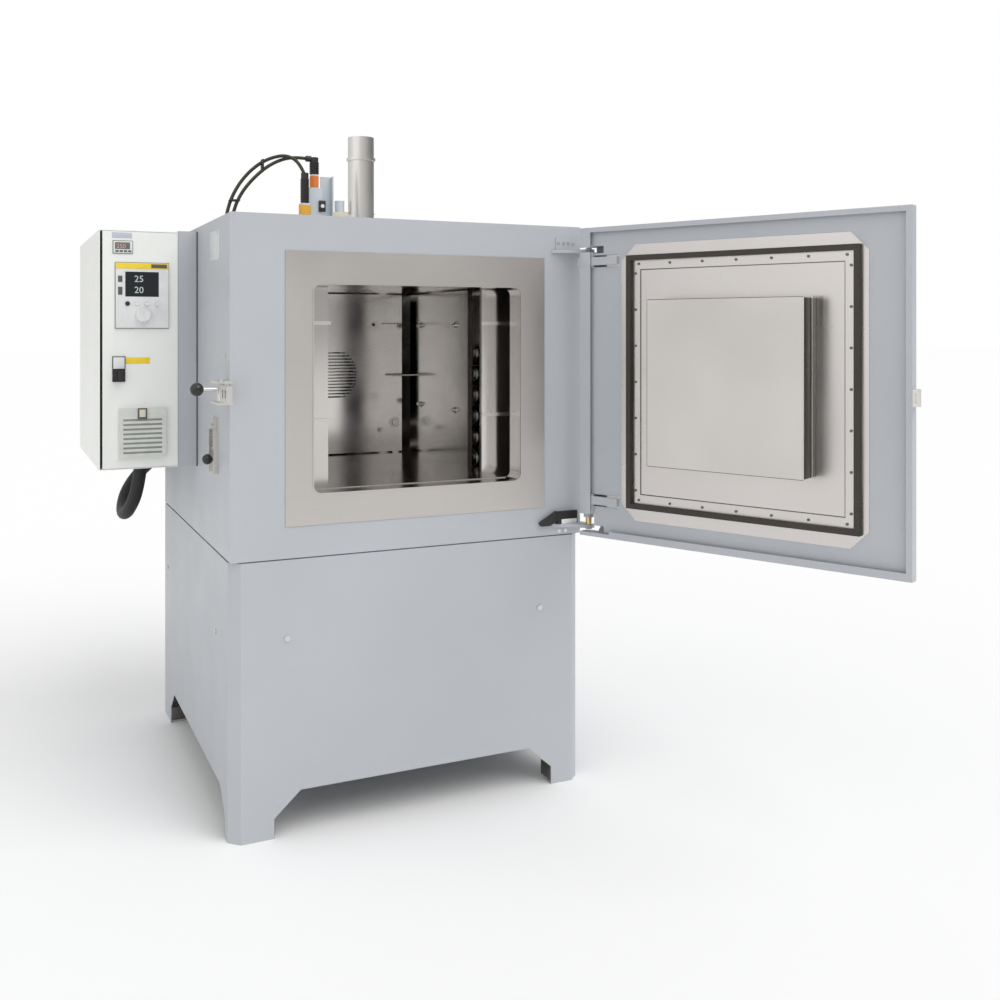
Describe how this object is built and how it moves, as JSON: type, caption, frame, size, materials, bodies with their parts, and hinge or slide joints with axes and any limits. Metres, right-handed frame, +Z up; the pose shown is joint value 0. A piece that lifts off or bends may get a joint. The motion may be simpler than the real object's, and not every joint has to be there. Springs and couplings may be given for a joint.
{
  "type": "forced convection furnace",
  "caption": "Forced convection chamber furnace on a closed base, with a side-hinged insulated door, air baffles and fan, heaters, an exhaust pipe and a side switch cabinet.",
  "frame": {"origin": "middle of the outline box without the cords, on the floor", "axes": "+Z up, -Y towards the chamber mouth, +X towards the door's hinge side"},
  "size_m": [1.4948, 1.9006, 1.715],
  "materials": {
    "casing_paint": "satin",
    "cabinet_paint": "satin",
    "face_steel": "satin",
    "chamber_steel": "polished",
    "door_steel": "satin",
    "bright_steel": "satin",
    "zinc_steel": "satin",
    "heater_sheath": "satin",
    "brass": "polished",
    "gasket_fibre": "matte",
    "insulation": "matte",
    "black_plastic": "matte",
    "ball_black": "gloss",
    "pale_plastic": "satin",
    "grille_plastic": "satin",
    "screen_glass": "gloss",
    "cable_sheath": "matte",
    "hose_sleeve": "matte",
    "valve_grey": "satin"
  },
  "bodies": {
    "furnace": {"base_front_panel": "casing_paint", "base_left_panel": "casing_paint", "base_right_panel": "casing_paint", "base_rear_panel": "casing_paint", "base_frame": "casing_paint", "fastening_screws": "zinc_steel", "casing_shell": "casing_paint", "casing_front_frame": "casing_paint", "casing_rear_cover": "casing_paint", "face_frame": "face_steel", "chamber_liner": "chamber_steel", "chamber_insulation": "insulation", "side_air_baffles": "chamber_steel", "rear_air_baffle": "chamber_steel", "baffle_stays": "bright_steel", "heating_elements": "heater_sheath", "thermocouple": "bright_steel", "fan_motor": "zinc_steel", "exhaust_pipe": "bright_steel", "valve_unit": "valve_grey", "roof_plugs": "black_plastic", "latch_bracket": "bright_steel", "air_inlet_guide": "bright_steel", "hinge_brackets": "casing_paint", "hinge_washers": "brass", "door_switch": "black_plastic", "cabinet_bracket_box": "casing_paint", "cabinet_shell": "cabinet_paint", "cabinet_switchgear": "valve_grey", "roof_cable_left": "cable_sheath", "roof_cable_right": "cable_sheath", "cabinet_hose": "hose_sleeve"},
    "chamber_door": {"door_skin": "casing_paint", "door_inner_panel": "casing_paint", "door_insulation": "insulation", "door_seal_plate": "door_steel", "door_gasket": "gasket_fibre", "gasket_clamp_strip": "door_steel", "clamp_screws": "bright_steel", "door_plug_box": "door_steel", "door_hinge_arms": "casing_paint", "door_keeper": "bright_steel"},
    "latch": {"latch_arm": "bright_steel", "latch_knob": "ball_black"},
    "air_lever": {"air_inlet_lever": "bright_steel", "air_inlet_knob": "ball_black"},
    "cabinet_front": {"cabinet_door": "cabinet_paint", "filter_grille": "grille_plastic", "controller": "pale_plastic", "controller_screen": "screen_glass", "limiter": "pale_plastic", "main_switch_plate": "black_plastic"},
    "dial": {"controller_knob": "pale_plastic"},
    "button_1": {"controller_button_1": "black_plastic"},
    "button_2": {"controller_button_2": "pale_plastic"},
    "button_3": {"controller_button_3": "pale_plastic"},
    "button_4": {"controller_button_4": "pale_plastic"},
    "switch_knob": {"main_switch_knob": "black_plastic"},
    "fan": {"fan_wheel": "bright_steel"},
    "flap": {"exhaust_flap": "bright_steel"}
  },
  "joints": [
    {"name": "door_swing", "type": "hinge", "parent": "furnace", "child": "chamber_door", "pos_m": [0.39306, -0.16769, 1.03], "axis": [0, 0, 1], "range_deg": [-115.26, 14.74]},
    {"name": "latch_turn", "type": "hinge", "parent": "furnace", "child": "latch", "pos_m": [-0.52944, -0.14669, 1.024], "axis": [0, 0, 1], "range_deg": [0, 90]},
    {"name": "air_inlet_lever", "type": "hinge", "parent": "furnace", "child": "air_lever", "pos_m": [-0.51144, 0.03731, 0.94], "axis": [1, 0, 0], "range_deg": [0, 26]},
    {"name": "cabinet_door_swing", "type": "hinge", "parent": "furnace", "child": "cabinet_front", "pos_m": [-0.73524, 0.29931, 1.11], "axis": [0, 0, 1], "range_deg": [-110, 0]},
    {"name": "dial_turn", "type": "hinge", "parent": "cabinet_front", "child": "dial", "pos_m": [-0.64414, 0.27731, 1.201], "axis": [0, 1, 0], "continuous": true},
    {"name": "button_1_press", "type": "slide", "parent": "cabinet_front", "child": "button_1", "axis": [0, 1, 0], "range_m": [0, 0.0015], "stiffness_N_per_m": 500},
    {"name": "button_2_press", "type": "slide", "parent": "cabinet_front", "child": "button_2", "axis": [0, 1, 0], "range_m": [0, 0.0015], "stiffness_N_per_m": 500},
    {"name": "button_3_press", "type": "slide", "parent": "cabinet_front", "child": "button_3", "axis": [0, 1, 0], "range_m": [0, 0.0015], "stiffness_N_per_m": 500},
    {"name": "button_4_press", "type": "slide", "parent": "cabinet_front", "child": "button_4", "axis": [0, 1, 0], "range_m": [0, 0.0015], "stiffness_N_per_m": 500},
    {"name": "main_switch_turn", "type": "hinge", "parent": "cabinet_front", "child": "switch_knob", "pos_m": [-0.70094, 0.27731, 1.05], "axis": [0, 1, 0], "range_deg": [0, 90]},
    {"name": "fan_spin", "type": "hinge", "parent": "furnace", "child": "fan", "pos_m": [-0.05744, 0.62231, 1.028], "axis": [0, 1, 0], "continuous": true},
    {"name": "flap_turn", "type": "hinge", "parent": "furnace", "child": "flap", "pos_m": [-0.02744, 0.41231, 1.5], "axis": [1, 0, 0], "range_deg": [0, 90]}
  ]
}
